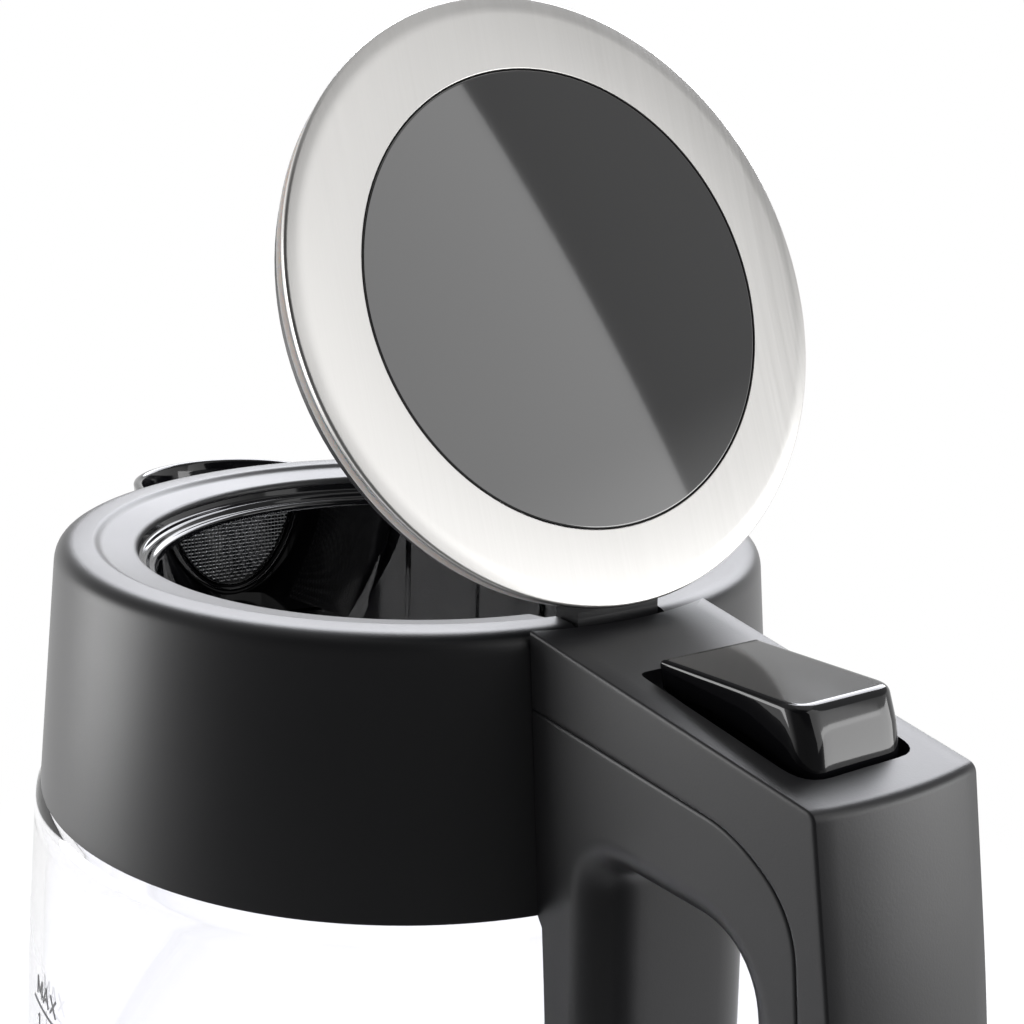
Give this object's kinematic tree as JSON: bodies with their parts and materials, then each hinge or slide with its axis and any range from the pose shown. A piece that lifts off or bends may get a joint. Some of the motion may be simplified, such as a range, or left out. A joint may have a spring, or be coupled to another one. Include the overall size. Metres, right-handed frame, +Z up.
{
  "type": "electric kettle",
  "caption": "Cordless electric kettle: clear glass jug with dark collar, spout, loop handle and spring lid with steel ring and dark disc, standing on a round swivel power base.",
  "frame": {"origin": "on the kettle's axis, at the plane of the base's rubber feet", "axes": "+Z up along the jug's axis; +X towards the handle, -X towards the spout; Y across, with the cord gland at +Y"},
  "size_m": [0.2397, 0.1554, 0.329],
  "materials": {
    "charcoal_plastic": "fine matte grain",
    "dark_plastic": "satin",
    "gloss_plastic": "gloss",
    "dark_glass": "polished",
    "clear_glass": "clear, polished",
    "brushed_steel": "satin",
    "bright_steel": "bright",
    "steel_mesh": "woven wire",
    "brass": "bright",
    "bimetal": "satin",
    "aluminium": "rolled",
    "element_metal": "oxidised",
    "white_plastic": "matte",
    "silicone": "soft translucent",
    "black_rubber": "matte",
    "wire_insulation": "matte",
    "lens": "translucent"
  },
  "bodies": {
    "base": {"base_shell": "charcoal_plastic", "base_plate": "dark_plastic", "base_feet": "black_rubber", "base_screws": "bright_steel", "cord_gland": "black_rubber", "connector_post": "dark_plastic", "connector_contacts": "brass", "base_wires": "wire_insulation"},
    "socket": {"socket_body": "dark_plastic", "socket_contacts": "brass"},
    "lid": {"lid_ring": "brushed_steel", "lid_disc": "dark_glass", "lid_carrier": "dark_plastic", "lid_cover": "dark_plastic", "lid_gasket": "silicone", "lid_screws": "bright_steel", "hinge_arm": "dark_plastic"},
    "button": {"release_button": "gloss_plastic"},
    "latch": {"latch_slider": "dark_plastic"},
    "switch": {"switch_lever": "dark_plastic", "switch_lens": "lens"},
    "filter": {"filter_frame": "gloss_plastic", "filter_mesh": "steel_mesh"},
    "jug": {"bottom_housing": "charcoal_plastic", "bottom_cover": "dark_plastic", "bottom_screws": "bright_steel", "plate_gasket": "silicone", "heater_plate": "brushed_steel", "diffuser_plate": "aluminium", "heating_element": "element_metal", "element_terminals": "bright_steel", "control_unit": "white_plastic", "control_screws": "bright_steel", "bimetal_discs": "bimetal", "glass_jug": "clear_glass", "collar_shell": "charcoal_plastic", "collar_liner": "gloss_plastic", "collar_gasket": "silicone", "spout": "charcoal_plastic", "handle_shell": "charcoal_plastic", "handle_inner": "charcoal_plastic", "handle_screws": "bright_steel", "steam_tube": "silicone", "switch_housing": "dark_plastic", "steam_disc": "bimetal", "switch_wires": "wire_insulation", "switch_pin": "bright_steel", "button_well": "gloss_plastic", "button_pin": "bright_steel", "hinge_pin": "bright_steel", "lid_spring": "bright_steel", "button_spring": "bright_steel", "latch_spring": "bright_steel"}
  },
  "joints": [
    {"name": "jug_lift", "type": "slide", "parent": "base", "child": "socket", "axis": [0, 0, 1], "range_m": [0, 0.06]},
    {"name": "jug_swivel", "type": "hinge", "parent": "socket", "child": "jug", "pos_m": [0, 0, 0.03], "axis": [0, 0, 1], "continuous": true},
    {"name": "lid_hinge", "type": "hinge", "parent": "jug", "child": "lid", "pos_m": [0.061, 0, 0.223], "axis": [0, -1, 0], "range_deg": [0, 68], "stiffness_Nm_per_rad": 0.1, "springref_deg": -22.92, "deforming": ["lid_spring"]},
    {"name": "button_press", "type": "hinge", "parent": "jug", "child": "button", "pos_m": [0.087, 0, 0.2251], "axis": [0, 1, 0], "range_deg": [0, 7], "stiffness_Nm_per_rad": 0.3, "springref_deg": -2.86, "deforming": ["button_spring"]},
    {"name": "latch_slide", "type": "slide", "parent": "jug", "child": "latch", "axis": [1, 0, 0], "range_m": [0, 0.0025], "deforming": ["latch_spring"]},
    {"name": "switch_toggle", "type": "hinge", "parent": "jug", "child": "switch", "pos_m": [0.108, 0, 0.068], "axis": [0, 1, 0], "range_deg": [0, 12]},
    {"name": "filter_lift", "type": "slide", "parent": "jug", "child": "filter", "axis": [0, 0, 1], "range_m": [0, 0.045]}
  ],
  "couplings": [
    {"joint": "latch_slide", "follows": "button_press", "m_per_rad": 0.0204}
  ]
}
